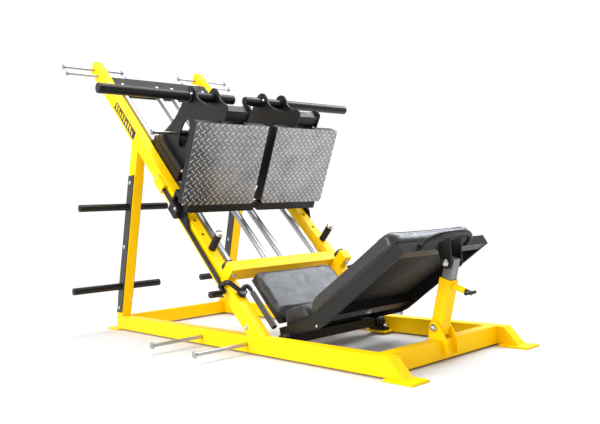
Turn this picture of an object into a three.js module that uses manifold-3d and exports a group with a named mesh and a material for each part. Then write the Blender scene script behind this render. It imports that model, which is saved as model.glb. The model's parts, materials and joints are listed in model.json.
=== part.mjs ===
// Plate-loaded 45-degree squat and leg press machine with two independent foot carriages.
// Millimetres. +Z is up, X runs across the machine, +Y runs from the head end to the uprights.
import * as THREE from 'three';
import { mergeVertices } from 'three/addons/utils/BufferGeometryUtils.js';
import Module from 'manifold-3d';

const wasm = await Module();
wasm.setup();

// ---------- driving dimensions ----------
const GAP = 0.3;
const RUNNING_GAP = 0.8;
const SIDES = { left: -1, right: 1 };

const TUBE_W = 50;
const TUBE_H = 70;
const WALL = 4;
const FOOT_T = 8;
const BASE_TOP = FOOT_T + TUBE_H;
const HALF_WIDTH = 370;
const INNER_HALF = HALF_WIDTH - TUBE_W;
const BASE_FRONT_LOW = -98;
const BASE_FRONT_HIGH = -33;
const BASE_REAR = 2012;
const FRONT_BEAM_Y = [0, 52];
const REAR_BEAM_Y = [1948, 2000];
const FOOT_X = [300, 390];
const FRONT_FOOT_Y = [-146, -18];
const REAR_FOOT_Y = [1972, 2098];

const SLOPE = Math.PI / 4;
const RAIL_FOOT_Y = 760;
const RAIL_LENGTH = 2028;
const RAIL_X = HALF_WIDTH - TUBE_W / 2;

const UPRIGHT_LEAN = THREE.MathUtils.degToRad(17.2);
const UPRIGHT_DEPTH = 70;
const UPRIGHT_REAR_Y = 2010;

const ROD_R = 17.5;
const ROD_N = 36;
const ROD_X = { outer: 272, inner: 50 };
const ROD_BEAM_S = [309, 366];
const TOP_BEAM_S = [1775, 1875];

const STOP_BLOCK = { s: [253, 307], top: 135, x: [322, 368] };
const BUMPER = { r: 30, length: 13, n: 103 };
const STOP_HOLE_S = [453, 549, 645];
const STOP_HOLE_R = 8.6;

const PEG_R = 8;
const PEG_HEAD_R = 14.5;
const PEG_HEAD_T = 9;
const TOP_PEG_S = [1925, 1990];
const TOP_PEG_X = [192, 556];
const BASE_PEG_Y = [765, 1118];
const BASE_PEG_X = [338, 631];
const BASE_PEG_Z = 42;

const HORN_R = 19;
const HORN_X = [140, 650];
const HORN_Z = [247, 683];

const BAR_R = 24;
const BAR = { s: 1121, n: 456 };
const BAR_X = [36, 768];
const PLATE_T = 8;
const PLATE_X = { outer: 285, inner: 153 };
const HOUSING = { half: 28, s: [977, 1289] };
const CARRIAGE_BOTTOM = ROD_N + HOUSING.half + GAP;
const BEARING_COVER = { x: [287, 314], s: [935, 1222], n: [68, 150] };

const FOOT_PLATE = { s: 667, n: 146, tilt: THREE.MathUtils.degToRad(19.3), x: [27, 433], height: 402 };
const TREAD_T = 5;
const TRAY_DEPTH = 36;
const TRAY_LIP = { x: [14, 398], drop: 38, depth: 37 };
const LUG = { x: [378, 408], arm: [692, 788], face: 772.5, n: [80, 124, 144] };

const LOCK = { x: 384, n: 40, r: 10, s: [258, 919] };
const SADDLE = { x: [369, 381], s: [268, 282], n: [28, 52] };
const END_BEARING = { x: [369, 396], s: [905, 1000], n: [14, 66] };
const CATCH = { x: [374, 420], s: [700, 772], n: [33, 92] };
const HUB = { x: 338, s: 168, r: 21, n: [72, 93] };
const BEND_R = 11;
const LEVER_PEG = { s: 222, n: 27, r: 16, x: [409, 455] };
const GRIP = { x: 300, n: 96, r: 13, s: [-49, 150] };

const AXLE = { y: 610, z: 60, r: 12.5, halfLength: 306 };
const BENCH_HALF = 256;
const BENCH_PLATE_T = 10;
const BENCH_BEND = [480, 150];
const BACK_ANGLE = THREE.MathUtils.degToRad(31.5);
const HIP_ANGLE = THREE.MathUtils.degToRad(13.8);
const BACK_LENGTH = 576;
const PAD_LIFT = 0.5;
const SEAT_N = 50;

const STRUT_FOOT = [31, 122];
const STRUT_TOP = [-43, 364];
const STRUT_OUTER = { half: 25, z: [-24, 190] };
const STRUT_INNER = { half: 20, z: [80, 271] };
const EAR_X = [28, 36];
const PIVOT_R = 8;
const PIVOT_HEAD = { r: 9.5, t: 6 };

// ---------- materials ----------
function finish(name, color, roughness, metalness) {
  return new THREE.MeshStandardMaterial({ name, color, roughness, metalness });
}

const yellow = finish('yellow_powder_coat', 0xffd900, 0.4, 0.1);
const black = finish('black_powder_coat', 0x1c1c1e, 0.55, 0.1);
const chrome = finish('polished_chrome', 0xd8dade, 0.12, 1);
const zinc = finish('grey_zinc', 0x8b8d8f, 0.4, 0.8);
const tread = finish('aluminium_tread', 0xb5b8bb, 0.4, 0.9);
const vinyl = finish('black_vinyl', 0x2a2a2d, 0.5, 0);
const rubber = finish('black_rubber', 0x151515, 0.8, 0);
const plastic = finish('black_plastic', 0x1f1f21, 0.6, 0);

// ---------- geometry helpers ----------
const X_AXIS = new THREE.Vector3(1, 0, 0);
const Y_AXIS = new THREE.Vector3(0, 1, 0);
const Z_AXIS = new THREE.Vector3(0, 0, 1);

function toSolid(geometry) {
  const plain = geometry.clone();
  plain.deleteAttribute('normal');
  plain.deleteAttribute('uv');
  const welded = mergeVertices(plain, 1e-4);
  return new wasm.Manifold(new wasm.Mesh({
    numProp: 3,
    vertProperties: new Float32Array(welded.attributes.position.array),
    triVerts: new Uint32Array(welded.index.array),
  }));
}

function toGeometry(solid) {
  const mesh = solid.getMesh();
  const geometry = new THREE.BufferGeometry();
  geometry.setAttribute('position', new THREE.BufferAttribute(mesh.vertProperties, 3));
  geometry.setIndex(new THREE.BufferAttribute(mesh.triVerts, 1));
  geometry.computeVertexNormals();
  return geometry;
}

function weld(pieces, cutters = []) {
  let solid = pieces.map(toSolid).reduce((whole, piece) => whole.add(piece));
  for (const cutter of cutters) solid = solid.subtract(toSolid(cutter));
  return toGeometry(solid);
}

function block(xs, ys, zs) {
  const size = [xs, ys, zs].map(([a, b]) => Math.abs(b - a));
  const centre = [xs, ys, zs].map(([a, b]) => (a + b) / 2);
  return new THREE.BoxGeometry(...size).translate(...centre);
}

function roundX(radius, xs, y, z, segments = 24) {
  const length = Math.abs(xs[1] - xs[0]);
  const bar = new THREE.CylinderGeometry(radius, radius, length, segments);
  return bar.rotateZ(Math.PI / 2).translate((xs[0] + xs[1]) / 2, y, z);
}

function roundY(radius, ys, x, z, segments = 24) {
  const bar = new THREE.CylinderGeometry(radius, radius, Math.abs(ys[1] - ys[0]), segments);
  return bar.translate(x, (ys[0] + ys[1]) / 2, z);
}

function roundZ(radius, zs, x, y, segments = 24) {
  const bar = new THREE.CylinderGeometry(radius, radius, Math.abs(zs[1] - zs[0]), segments);
  return bar.rotateX(Math.PI / 2).translate(x, y, (zs[0] + zs[1]) / 2);
}

function outline(points) {
  return new THREE.Shape(points.map(([a, b]) => new THREE.Vector2(a, b)));
}

// A side-view outline in (Y, Z), extruded across the machine between two X values.
function acrossX(shape, xs, curveSegments = 10) {
  const depth = Math.abs(xs[1] - xs[0]);
  const solid = new THREE.ExtrudeGeometry(shape, { depth, bevelEnabled: false, curveSegments });
  solid.applyMatrix4(new THREE.Matrix4().makeBasis(Y_AXIS, Z_AXIS, X_AXIS));
  return solid.translate(Math.min(xs[0], xs[1]), 0, 0);
}

function onSide(side, [near, far]) {
  return [side * near, side * far];
}

// A round peg across the machine with a wider head on its outer end.
function headedPeg(side, xs, y, z, innerHead) {
  const pieces = [
    roundX(PEG_R, onSide(side, xs), y, z, 20),
    roundX(PEG_HEAD_R, onSide(side, [xs[1] - PEG_HEAD_T, xs[1]]), y, z, 20),
  ];
  if (innerHead) pieces.push(roundX(PEG_HEAD_R, onSide(side, [xs[0], xs[0] + PEG_HEAD_T]), y, z, 20));
  return weld(pieces);
}

// Round bar swept along a smooth path.
function sweptBar(radius, path, steps, sides = 5) {
  const section = new THREE.Shape();
  section.absarc(0, 0, radius, 0, Math.PI * 2);
  return new THREE.ExtrudeGeometry(section, {
    steps,
    curveSegments: sides,
    bevelEnabled: false,
    extrudePath: path,
  });
}

function softPad(shape, halfWidth, edge) {
  const solid = new THREE.ExtrudeGeometry(shape, {
    depth: 2 * (halfWidth - edge),
    bevelEnabled: true,
    bevelSize: edge,
    bevelOffset: -edge,
    bevelThickness: edge,
    bevelSegments: 2,
    curveSegments: 4,
  });
  solid.applyMatrix4(new THREE.Matrix4().makeBasis(Y_AXIS, Z_AXIS, X_AXIS));
  return solid.translate(-(halfWidth - edge), 0, 0);
}

// ---------- scene graph ----------
const machine = new THREE.Group();
machine.position.y = -(FRONT_FOOT_Y[0] + RAIL_FOOT_Y + RAIL_LENGTH * Math.cos(SLOPE)) / 2;

const slope = new THREE.Group();
slope.position.set(0, RAIL_FOOT_Y, BASE_TOP);
slope.rotation.x = SLOPE;
machine.add(slope);

const bench = new THREE.Group();
machine.add(bench);

function add(name, geometry, material, parent = machine) {
  const mesh = new THREE.Mesh(geometry, material);
  mesh.name = name;
  parent.add(mesh);
}

// A point (s along the rails, n square to them) in the machine's (Y, Z).
function fromSlope(s, n) {
  const y = RAIL_FOOT_Y + s * Math.cos(SLOPE) - n * Math.sin(SLOPE);
  const z = BASE_TOP + s * Math.sin(SLOPE) + n * Math.cos(SLOPE);
  return [y, z];
}

// ---------- base frame ----------
function baseRail(side) {
  const body = outline([
    [BASE_FRONT_LOW, FOOT_T],
    [BASE_REAR, FOOT_T],
    [BASE_REAR, BASE_TOP],
    [BASE_FRONT_HIGH, BASE_TOP],
  ]);
  const hollow = outline([
    [BASE_FRONT_LOW + 2.5 * WALL, FOOT_T + WALL],
    [BASE_REAR + 1, FOOT_T + WALL],
    [BASE_REAR + 1, BASE_TOP - WALL],
    [BASE_FRONT_HIGH + 0.5 * WALL, BASE_TOP - WALL],
  ]);
  const pieces = [
    acrossX(body, onSide(side, [INNER_HALF, HALF_WIDTH])),
    block(onSide(side, FOOT_X), FRONT_FOOT_Y, [0, FOOT_T]),
    block(onSide(side, FOOT_X), REAR_FOOT_Y, [0, FOOT_T]),
    block(onSide(side, [258, INNER_HALF + 2]), [AXLE.y - 58, AXLE.y + 58], [10, 18]),
  ];
  const pegHoles = BASE_PEG_Y.map((y) => (
    roundX(PEG_R + RUNNING_GAP, onSide(side, [HALF_WIDTH - 2 * WALL, HALF_WIDTH + 5]), y, BASE_PEG_Z, 20)
  ));
  return weld(pieces, [acrossX(hollow, onSide(side, [INNER_HALF + WALL, HALF_WIDTH - WALL])), ...pegHoles]);
}

function crossTube([y0, y1], [z0, z1]) {
  const shape = outline([[y0, z0], [y1, z0], [y1, z1], [y0, z1]]);
  shape.holes.push(outline([
    [y0 + WALL, z0 + WALL],
    [y0 + WALL, z1 - WALL],
    [y1 - WALL, z1 - WALL],
    [y1 - WALL, z0 + WALL],
  ]));
  return acrossX(shape, [-INNER_HALF + GAP, INNER_HALF - GAP]);
}

function strutEar(side) {
  const [y, z] = STRUT_FOOT;
  const shape = new THREE.Shape();
  shape.moveTo(-22, 24);
  shape.lineTo(-22, 74);
  shape.lineTo(y - 21, z + 10);
  shape.absarc(y, z, 23, Math.PI * 0.86, Math.PI * 0.14, true);
  shape.lineTo(y + 32, BASE_TOP);
  shape.lineTo(0, BASE_TOP);
  shape.lineTo(0, 24);
  return acrossX(shape, onSide(side, EAR_X));
}

function frontBeam() {
  const [y, z] = STRUT_FOOT;
  const pieces = [crossTube(FRONT_BEAM_Y, [FOOT_T, BASE_TOP]), strutEar(-1), strutEar(1)];
  return weld(pieces, [roundX(PIVOT_R + RUNNING_GAP, [-60, 60], y, z)]);
}

// Centre line of the leaning uprights: Y at a height Z.
function uprightY(z) {
  const halfDepth = UPRIGHT_DEPTH / Math.cos(UPRIGHT_LEAN) / 2;
  return UPRIGHT_REAR_Y - halfDepth - (z - BASE_TOP) * Math.tan(UPRIGHT_LEAN);
}

function uprightOutline(inset, overrun) {
  const half = (UPRIGHT_DEPTH / 2 - inset) / Math.cos(UPRIGHT_LEAN);
  const low = BASE_TOP + GAP - overrun;
  const lean = Math.tan(UPRIGHT_LEAN);
  const corner = (offset) => {
    const rise = (uprightY(BASE_TOP) + offset - RAIL_FOOT_Y - 0.5) / (1 + lean);
    return [RAIL_FOOT_Y + rise + 0.5 - overrun * lean, BASE_TOP + rise + overrun];
  };
  return outline([[uprightY(low) - half, low], [uprightY(low) + half, low], corner(half), corner(-half)]);
}

function upright(side) {
  const body = acrossX(uprightOutline(0, 0), onSide(side, [INNER_HALF, HALF_WIDTH]));
  const hollow = acrossX(uprightOutline(WALL, 3), onSide(side, [INNER_HALF + WALL, HALF_WIDTH - WALL]));
  const holes = HORN_Z.map((z) => (
    roundX(HORN_R + RUNNING_GAP, onSide(side, [INNER_HALF - 5, HALF_WIDTH + 5]), uprightY(z), z)
  ));
  return weld([body], [hollow, ...holes]);
}

function wearStrip(side) {
  const half = 30;
  const z = [100, 850];
  const body = outline([
    [uprightY(z[0]) - half, z[0]],
    [uprightY(z[0]) + half, z[0]],
    [uprightY(z[1]) + half, z[1]],
    [uprightY(z[1]) - half, z[1]],
  ]);
  const bolts = [127, 466, 812].map((height) => (
    roundX(7, onSide(side, [HALF_WIDTH + 3, HALF_WIDTH + 9]), uprightY(height), height, 12)
  ));
  const holes = HORN_Z.map((height) => (
    roundX(HORN_R + RUNNING_GAP, onSide(side, [HALF_WIDTH - 5, HALF_WIDTH + 15]), uprightY(height), height)
  ));
  return weld([acrossX(body, onSide(side, [HALF_WIDTH + GAP, HALF_WIDTH + 6])), ...bolts], holes);
}

for (const [label, side] of Object.entries(SIDES)) {
  add(`base_rail_${label}`, baseRail(side), yellow);
  add(`upright_${label}`, upright(side), yellow);
  add(`wear_strip_${label}`, wearStrip(side), plastic);
  HORN_Z.forEach((z, level) => {
    const name = `storage_horn_${['lower', 'upper'][level]}_${label}`;
    add(name, roundX(HORN_R, onSide(side, HORN_X), uprightY(z), z), black);
  });
  BASE_PEG_Y.forEach((y, row) => {
    const name = `base_band_peg_${['front', 'rear'][row]}_${label}`;
    add(name, headedPeg(side, BASE_PEG_X, y, BASE_PEG_Z, false), chrome);
  });
}
add('base_front_crossmember', frontBeam(), yellow);
add('base_rear_crossmember', crossTube(REAR_BEAM_Y, [FOOT_T, BASE_TOP]), yellow);

// ---------- sloping rails, guide rods and stops (drawn along the slope) ----------
function slopingRail(side) {
  const reach = RAIL_LENGTH;
  const body = outline([[GAP * 1.5, 0], [reach, 0], [reach, TUBE_H], [GAP * 1.5 - TUBE_H, TUBE_H]]);
  const hollow = outline([
    [-3 * WALL, WALL],
    [reach - WALL, WALL],
    [reach - WALL, TUBE_H - WALL],
    [-TUBE_H - 3 * WALL, TUBE_H - WALL],
  ]);
  const bearings = [SADDLE, END_BEARING].map(({ x, s, n }) => block(onSide(side, x), s, n));
  const stopBlock = block(onSide(side, STOP_BLOCK.x), STOP_BLOCK.s, [TUBE_H - 1, STOP_BLOCK.top]);
  const holes = [
    acrossX(hollow, onSide(side, [INNER_HALF + WALL, HALF_WIDTH - WALL])),
    roundY(LOCK.r + RUNNING_GAP, [LOCK.s[0] - 2, LOCK.s[1] + 2], side * LOCK.x, LOCK.n),
    ...TOP_PEG_S.map((s) => roundX(PEG_R + RUNNING_GAP, onSide(side, [310, 380]), s, ROD_N, 20)),
    ...STOP_HOLE_S.map((s) => roundZ(STOP_HOLE_R, [TUBE_H - 2 * WALL, TUBE_H + 5], side * RAIL_X, s, 20)),
  ];
  return weld([acrossX(body, onSide(side, [INNER_HALF, HALF_WIDTH])), ...bearings, stopBlock], holes);
}

function stopPeg(side) {
  const profile = [[0, 38], [7.5, 38], [7.5, TUBE_H + GAP], [18, TUBE_H + GAP], [18, 156], [15, 162], [0, 162]];
  const peg = new THREE.LatheGeometry(profile.map(([r, h]) => new THREE.Vector2(r, h)), 24);
  return peg.rotateX(Math.PI / 2).translate(side * RAIL_X, STOP_HOLE_S[0], 0);
}

for (const [label, side] of Object.entries(SIDES)) {
  add(`incline_rail_${label}`, slopingRail(side), yellow, slope);
  for (const [place, x] of Object.entries(ROD_X)) {
    const reach = [ROD_BEAM_S[1] + GAP, TOP_BEAM_S[0] - GAP];
    add(`guide_rod_${place}_${label}`, roundY(ROD_R, reach, side * x, ROD_N), chrome, slope);
  }
  const bumperS = [STOP_BLOCK.s[1] + GAP, STOP_BLOCK.s[1] + BUMPER.length];
  add(`bumper_${label}`, roundY(BUMPER.r, bumperS, side * RAIL_X, BUMPER.n), rubber, slope);
  add(`stop_peg_${label}`, stopPeg(side), black, slope);
  TOP_PEG_S.forEach((s, row) => {
    const name = `top_band_peg_${['lower', 'upper'][row]}_${label}`;
    add(name, headedPeg(side, TOP_PEG_X, s, ROD_N, true), chrome, slope);
  });
}
add('rod_crossmember', crossTube(ROD_BEAM_S, [0, TUBE_H]), yellow, slope);
add('top_beam', crossTube(TOP_BEAM_S, [0, TUBE_H]), black, slope);

// ---------- foot carriages ----------
const ALONG = [Math.sin(FOOT_PLATE.tilt), Math.cos(FOOT_PLATE.tilt)];
const BEHIND = [Math.cos(FOOT_PLATE.tilt), -Math.sin(FOOT_PLATE.tilt)];

// A point on the foot plate's side view: up the plate, and back from its front face.
function fromFootPlate(up, back) {
  return [
    FOOT_PLATE.s + up * ALONG[0] + back * BEHIND[0],
    FOOT_PLATE.n + up * ALONG[1] + back * BEHIND[1],
  ];
}

function sidePlate(side, place) {
  const back = TREAD_T + TRAY_DEPTH + 2 * GAP;
  const shape = new THREE.Shape();
  shape.moveTo(...fromFootPlate(2, back));
  shape.lineTo(960, CARRIAGE_BOTTOM);
  shape.lineTo(HOUSING.s[1] - 6, CARRIAGE_BOTTOM);
  shape.quadraticCurveTo(1215, 165, 1186, 262);
  shape.quadraticCurveTo(1160, 330, 1171, BAR.n - 10);
  shape.absarc(BAR.s + 2, BAR.n, 49, 0, Math.PI * 0.72, false);
  shape.quadraticCurveTo(1068, 478, 1010, 496);
  shape.quadraticCurveTo(930, 520, 884, 580);
  shape.quadraticCurveTo(866, 604, 838, 598);
  shape.quadraticCurveTo(824, 590, 822, 572);
  shape.lineTo(...fromFootPlate(FOOT_PLATE.height + 6, 10));
  shape.lineTo(...fromFootPlate(FOOT_PLATE.height + 6, back));
  const half = PLATE_T / 2;
  return acrossX(shape, onSide(side, [PLATE_X[place] - half, PLATE_X[place] + half]), 8);
}

function ovalCutter(side) {
  const shape = new THREE.Shape();
  shape.absellipse(1052, 272, 40, 82, 0, Math.PI * 2, false, -0.22);
  return acrossX(shape, onSide(side, [PLATE_X.inner - 20, PLATE_X.outer + 20]), 14);
}

// Long box outside the outer plate, with a shallow groove along its top corner.
function bearingCover(side) {
  const { x, s, n } = BEARING_COVER;
  return weld([block(onSide(side, x), s, n)], [block(onSide(side, [x[1] - 3, x[1] + 1]), s, [n[0] + 44, n[0] + 50])]);
}

function carriageFrame(side) {
  const between = onSide(side, [PLATE_X.inner, PLATE_X.outer]);
  const reach = onSide(side, [ROD_X.inner - HOUSING.half, ROD_X.outer + HOUSING.half]);
  const tubeTop = CARRIAGE_BOTTOM + 40;
  const plates = weld([sidePlate(side, 'outer'), sidePlate(side, 'inner')], [
    ovalCutter(side),
    roundX(BAR_R + GAP * 2, onSide(side, [100, 330]), BAR.s, BAR.n),
  ]);
  return weld([
    plates,
    roundX(19, between, 1115, 234),
    block(between, [826, 872], [534, 580]),
    block(reach, [995, 1035], [CARRIAGE_BOTTOM, tubeTop]),
    block(reach, [1232, 1272], [CARRIAGE_BOTTOM, tubeTop]),
    bearingCover(side),
  ]);
}

function bearingHousing(side, place) {
  const { half, s } = HOUSING;
  const shape = outline([[-half, -half], [half, -half], [half, half], [-half, half]]);
  const bore = new THREE.Path();
  bore.absarc(0, 0, ROD_R + RUNNING_GAP, 0, Math.PI * 2, true);
  shape.holes.push(bore);
  const body = new THREE.ExtrudeGeometry(shape, { depth: s[1] - s[0], bevelEnabled: false, curveSegments: 12 });
  return body.rotateX(Math.PI / 2).translate(side * ROD_X[place], s[1], ROD_N);
}

function roundedPanel(xs, height, depth, radius) {
  const [x0, x1] = xs[0] < xs[1] ? xs : [xs[1], xs[0]];
  const shape = new THREE.Shape();
  shape.moveTo(x0 + radius, 0);
  shape.lineTo(x1 - radius, 0);
  shape.absarc(x1 - radius, radius, radius, -Math.PI / 2, 0, false);
  shape.absarc(x1 - radius, height - radius, radius, 0, Math.PI / 2, false);
  shape.absarc(x0 + radius, height - radius, radius, Math.PI / 2, Math.PI, false);
  shape.absarc(x0 + radius, radius, radius, Math.PI, Math.PI * 1.5, false);
  const panel = new THREE.ExtrudeGeometry(shape, { depth, bevelEnabled: false, curveSegments: 4 });
  return panel.rotateX(Math.PI / 2).translate(0, depth, 0);
}

function placeOnFootPlate(geometry) {
  return geometry.rotateX(-FOOT_PLATE.tilt).translate(0, FOOT_PLATE.s, FOOT_PLATE.n);
}

function trayShell(side) {
  const front = TREAD_T + GAP;
  const xs = onSide(side, FOOT_PLATE.x);
  const inner = onSide(side, [FOOT_PLATE.x[0] + WALL, FOOT_PLATE.x[1] - WALL]);
  const tray = roundedPanel(xs, FOOT_PLATE.height, TRAY_DEPTH, 14).translate(0, front, 0);
  const pocket = roundedPanel(inner, FOOT_PLATE.height - 2 * WALL, TRAY_DEPTH, 11).translate(0, front + WALL, WALL);
  return weld([tray], [pocket]);
}

function trayLip(side) {
  const xs = onSide(side, TRAY_LIP.x);
  return weld([
    block(xs, [0, TRAY_LIP.depth], [-TRAY_LIP.drop, -GAP]),
    block(xs, [TREAD_T + GAP, TRAY_LIP.depth], [-WALL, 2]),
  ]);
}

// Hooked arm behind the foot plate; its short end rests on the lock lever's catch.
function trayLug(side) {
  const [low, under, top] = LUG.n;
  const xs = onSide(side, LUG.x);
  return weld([block(xs, LUG.arm, [under, top]), block(xs, [LUG.face, LUG.arm[1]], [low, top])]);
}

function trayGusset(side) {
  const shape = outline([fromFootPlate(1, 34), fromFootPlate(150, 34), fromFootPlate(1, 76)].reverse());
  return acrossX(shape, onSide(side, [FOOT_PLATE.x[0], FOOT_PLATE.x[0] + 8]));
}

function footTray(side) {
  const onPlate = [trayShell(side), trayLip(side)].map(placeOnFootPlate);
  return weld([...onPlate, trayLug(side), trayGusset(side)]);
}

function treadPlate(side) {
  const xs = onSide(side, FOOT_PLATE.x);
  const screws = [];
  for (const x of [FOOT_PLATE.x[0] + 65, FOOT_PLATE.x[1] - 65]) {
    for (const z of [64, FOOT_PLATE.height - 64]) screws.push(roundY(6, [-1.5, 2], side * x, z, 12));
  }
  return placeOnFootPlate(weld([roundedPanel(xs, FOOT_PLATE.height, TREAD_T, 14), ...screws]));
}

function loadingBar(side) {
  const pieces = [
    roundX(BAR_R, onSide(side, BAR_X), BAR.s, BAR.n),
    roundX(BAR_R + 8, onSide(side, [PLATE_X.outer + 5, PLATE_X.outer + 19]), BAR.s, BAR.n),
  ];
  return weld(pieces);
}

for (const [label, side] of Object.entries(SIDES)) {
  add(`carriage_frame_${label}`, carriageFrame(side), black, slope);
  add(`loading_bar_${label}`, loadingBar(side), black, slope);
  add(`foot_tray_${label}`, footTray(side), black, slope);
  add(`tread_plate_${label}`, treadPlate(side), tread, slope);
  const pegReach = [PLATE_X.outer + PLATE_T / 2 + GAP, 431];
  add(`carriage_band_peg_${label}`, headedPeg(side, pegReach, 1115, 234, false), chrome, slope);
  for (const place of Object.keys(ROD_X)) {
    add(`bearing_housing_${place}_${label}`, bearingHousing(side, place), black, slope);
  }
}

// ---------- lock levers ----------
function bentBar(radius, points, steps) {
  return sweptBar(radius, new THREE.CatmullRomCurve3(points.map((point) => new THREE.Vector3(...point))), steps);
}

function lockLever(side) {
  const gusset = outline([[CATCH.s[0] + 1, 40], [CATCH.s[0] + 1, 90], [664, 90], [610, 46], [610, 40]]);
  const lowerBend = [
    [side * LOCK.x, 263, LOCK.n],
    [side * LOCK.x, 254, LOCK.n + 5],
    [side * 386, 246, 62],
    [side * 392, 222, 97],
    [side * 380, 206, 99],
    [side * 362, 186, 92],
    [side * HUB.x, HUB.s, 84],
  ];
  const gripBend = [
    [side * HUB.x, HUB.s + 4, 84],
    [side * 326, 184, 93],
    [side * 311, 188, 96],
    [side * (GRIP.x + 1), 179, GRIP.n],
    [side * GRIP.x, 164, GRIP.n],
  ];
  return weld([
    roundY(LOCK.r, LOCK.s, side * LOCK.x, LOCK.n),
    block(onSide(side, CATCH.x), CATCH.s, CATCH.n),
    acrossX(gusset, onSide(side, [LOCK.x - 4, LOCK.x + 4])),
    bentBar(BEND_R, lowerBend, 18),
    roundZ(HUB.r, HUB.n, side * HUB.x, HUB.s),
    bentBar(BEND_R, gripBend, 10),
    roundY(9, [GRIP.s[0] + 6, 167], side * GRIP.x, GRIP.n, 12),
    block(onSide(side, [380, 396]), [LEVER_PEG.s - 8, LOCK.s[0] + 3], [LEVER_PEG.n + 1, LOCK.n + 4]),
    roundX(6, onSide(side, [391, LEVER_PEG.x[0] + 2]), LEVER_PEG.s, LEVER_PEG.n, 12),
    roundX(LEVER_PEG.r, onSide(side, LEVER_PEG.x), LEVER_PEG.s, LEVER_PEG.n),
  ]);
}

function lockGrip(side) {
  const shape = new THREE.Shape();
  shape.absarc(0, 0, GRIP.r, 0, Math.PI * 2);
  const bore = new THREE.Path();
  bore.absarc(0, 0, 9 + RUNNING_GAP, 0, Math.PI * 2, true);
  shape.holes.push(bore);
  const depth = GRIP.s[1] - GRIP.s[0];
  const grip = new THREE.ExtrudeGeometry(shape, { depth, bevelEnabled: false, curveSegments: 10 });
  return grip.rotateX(Math.PI / 2).translate(side * GRIP.x, GRIP.s[1], GRIP.n);
}

for (const [label, side] of Object.entries(SIDES)) {
  add(`lock_lever_${label}`, lockLever(side), black, slope);
  add(`lock_grip_${label}`, lockGrip(side), rubber, slope);
}

// ---------- tilting bench ----------
// Points along the back rest (t up from the bend) and the hip rest (t down from the bend),
// with h square to the pads.
function fromBack(t, h) {
  return [
    BENCH_BEND[0] - t * Math.cos(BACK_ANGLE) + h * Math.sin(BACK_ANGLE),
    BENCH_BEND[1] + t * Math.sin(BACK_ANGLE) + h * Math.cos(BACK_ANGLE),
  ];
}

function fromHip(t, h) {
  return [
    BENCH_BEND[0] + t * Math.cos(HIP_ANGLE) + h * Math.sin(HIP_ANGLE),
    BENCH_BEND[1] - t * Math.sin(HIP_ANGLE) + h * Math.cos(HIP_ANGLE),
  ];
}

function benchPlate(side) {
  const shape = outline([
    fromHip(209, -40),
    fromHip(209, 0),
    BENCH_BEND,
    fromBack(BACK_LENGTH, 0),
    fromBack(BACK_LENGTH, -40),
    fromBack(60, -58),
    fromHip(-28, -44),
  ]);
  const xs = onSide(side, [BENCH_HALF - BENCH_PLATE_T, BENCH_HALF]);
  return weld([acrossX(shape, xs), roundX(30, xs, AXLE.y, AXLE.z)]);
}

function benchTube(corner, length, depth) {
  const points = [corner(0, 0), corner(length, 0), corner(length, -depth), corner(0, -depth)];
  const half = BENCH_HALF - BENCH_PLATE_T + 1;
  return acrossX(outline(points), [-half, half]);
}

function clevisPlate(side) {
  const [y, z] = STRUT_TOP;
  const shape = new THREE.Shape();
  shape.moveTo(y - 22, z + 92);
  shape.lineTo(y - 22, z);
  shape.absarc(y, z, 22, Math.PI, Math.PI * 2, false);
  shape.lineTo(y + 34, z + 50);
  shape.lineTo(y + 30, z + 76);
  const stub = roundX(PIVOT_R, onSide(side, [EAR_X[0] + 0.5, EAR_X[1] + 2]), y, z, 16);
  const head = roundX(PIVOT_HEAD.r, onSide(side, [EAR_X[1] - 1, EAR_X[1] + PIVOT_HEAD.t]), y, z, 6);
  return weld([acrossX(shape, onSide(side, EAR_X)), stub, head]);
}

function seatArm(side) {
  const shape = outline([
    fromSlope(-86, 40),
    fromSlope(-76, 62),
    fromSlope(-56, 66),
    fromSlope(-40, SEAT_N),
    fromSlope(240, SEAT_N),
    fromSlope(240, SEAT_N - 22),
    fromSlope(-44, SEAT_N - 28),
  ]);
  return acrossX(shape, onSide(side, [90, 130]));
}

function benchFrame() {
  return weld([
    benchPlate(-1),
    benchPlate(1),
    benchTube((t, h) => fromBack(BACK_LENGTH - 44 + t, h - 1), 44, 38),
    benchTube((t, h) => fromBack(44 + t, h - 1), 56, 38),
    benchTube((t, h) => fromHip(172 + t, h - 4), 34, 34),
    block([-BENCH_HALF + 2, BENCH_HALF - 2], [AXLE.y - 20, AXLE.y + 20], [AXLE.z - 18, AXLE.z + 22]),
    roundX(AXLE.r, [-AXLE.halfLength, AXLE.halfLength], AXLE.y, AXLE.z),
    clevisPlate(-1),
    clevisPlate(1),
    seatArm(-1),
    seatArm(1),
  ]);
}

function backPad() {
  const shape = outline([
    fromBack(-2, PAD_LIFT),
    fromBack(554, PAD_LIFT),
    fromBack(554, 48),
    fromBack(534, 70),
    fromBack(36, 70),
    fromBack(2, 38),
  ].reverse());
  return softPad(shape, 248, 8);
}

function hipPad() {
  const shape = outline([
    fromHip(32, PAD_LIFT),
    fromHip(208, PAD_LIFT),
    fromHip(200, 60),
    fromHip(190, 66),
    fromHip(58, 66),
    fromHip(44, 58),
  ]);
  return softPad(shape, 228, 8);
}

function seatPad() {
  const shape = outline([
    fromSlope(-15, SEAT_N + PAD_LIFT),
    fromSlope(252, SEAT_N + PAD_LIFT),
    fromSlope(252, SEAT_N + 44),
    fromSlope(242, SEAT_N + 54),
    fromSlope(26, SEAT_N + 54),
    fromSlope(-15, SEAT_N + 26),
  ]);
  return softPad(shape, 240, 8);
}

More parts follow.
